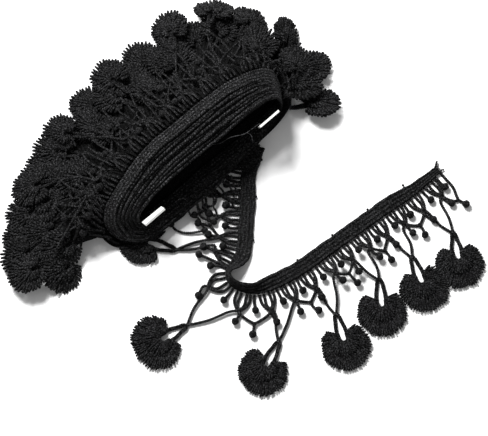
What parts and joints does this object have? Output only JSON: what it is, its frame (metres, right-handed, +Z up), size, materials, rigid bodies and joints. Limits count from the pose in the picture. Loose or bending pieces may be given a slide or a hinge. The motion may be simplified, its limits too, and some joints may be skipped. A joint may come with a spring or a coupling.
{
  "type": "tassel fringe trim",
  "caption": "Black netted trim with a ribbed heading, cord balls and fan tassels, wound on a card with its free end lying loose.",
  "frame": {"origin": "on the surface that the trim lies on, at the middle of the whole trim's footprint", "axes": "+Z up from the surface; +X along the whole trim's longest side, towards the cut end; +Y from the loose tassels towards the hank"},
  "size_m": [0.2884, 0.2461, 0.0436],
  "materials": {
    "cord": "black braided polyester cord, dull with a faint sheen",
    "yarn": "black cut yarn, matt and slightly fuzzy",
    "card": "matt white coated card"
  },
  "bodies": {
    "root": {"winding_card": "card", "winding_heading": "cord", "winding_fringe": "cord", "winding_tassel_01": "yarn", "winding_tassel_02": "yarn", "winding_tassel_03": "yarn", "winding_tassel_04": "yarn", "winding_tassel_05": "yarn", "winding_tassel_06": "yarn", "winding_tassel_07": "yarn", "winding_tassel_08": "yarn", "winding_tassel_09": "yarn", "winding_tassel_10": "yarn", "winding_tassel_11": "yarn", "winding_tassel_12": "yarn", "winding_tassel_13": "yarn", "winding_tassel_14": "yarn", "winding_tassel_15": "yarn", "winding_tassel_16": "yarn", "tail_heading": "cord", "tail_fringe": "cord", "tail_tassel_1": "yarn", "tail_tassel_2": "yarn", "tail_tassel_3": "yarn", "tail_tassel_4": "yarn", "tail_tassel_5": "yarn", "tail_tassel_6": "yarn", "tail_tassel_7": "yarn"}
  },
  "joints": []
}
